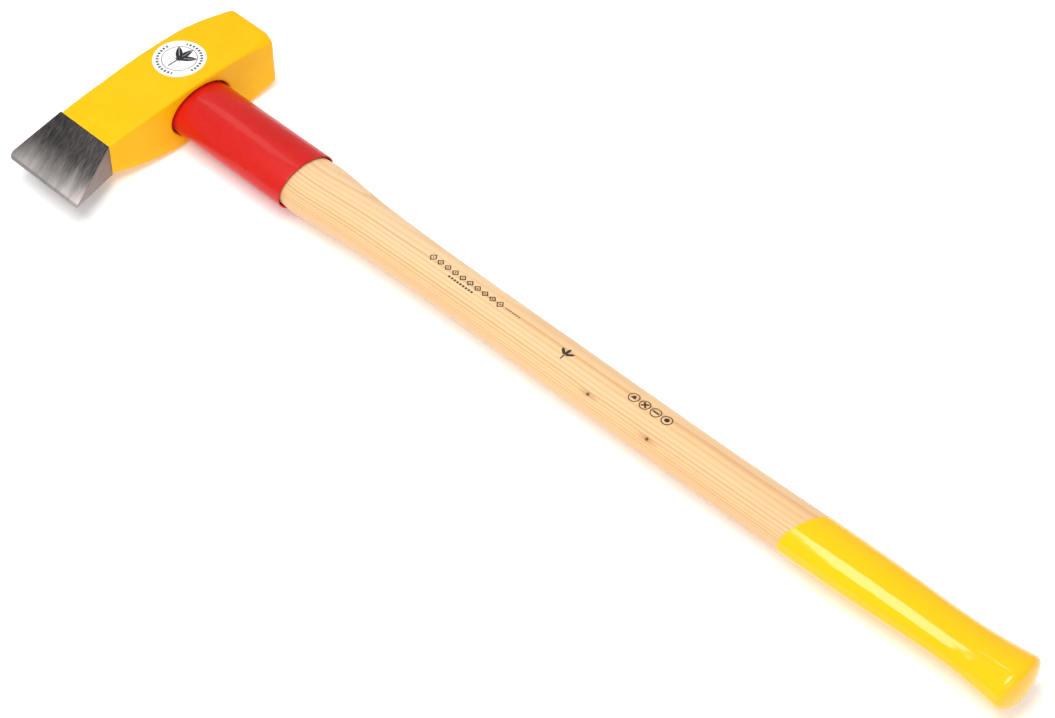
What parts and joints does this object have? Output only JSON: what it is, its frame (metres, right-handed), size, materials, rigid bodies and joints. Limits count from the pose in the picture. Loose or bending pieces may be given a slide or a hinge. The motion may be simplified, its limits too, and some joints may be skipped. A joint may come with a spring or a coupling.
{
  "type": "splitting maul",
  "caption": "Splitting maul with a wedge-shaped steel head, a red steel sleeve through the eye and a long wooden handle with a coated grip, used to split firewood.",
  "frame": {"origin": "where the handle's axis meets the head's handle-side face", "axes": "+X down the handle towards the grip, +Y from the eye towards the poll, +Z out of the labelled cheek"},
  "size_m": [0.8242, 0.205, 0.0511],
  "materials": {
    "head_steel": "gloss yellow paint over forged steel, with the bit ground bare",
    "ash_wood": "smooth waxed ash, straight grain",
    "red_steel": "gloss red paint",
    "wedge_wood": "sawn hardwood",
    "zinc_steel": "zinc plated",
    "yellow_dip": "gloss dipped coating",
    "label": "printed adhesive film"
  },
  "bodies": {
    "root": {"head": "head_steel", "handle": "ash_wood", "protective_sleeve": "red_steel", "wood_wedges": "wedge_wood", "locking_plate": "red_steel", "lock_washer": "zinc_steel", "locking_screw": "zinc_steel", "grip_coating": "yellow_dip", "label_disc": "label"}
  },
  "joints": []
}
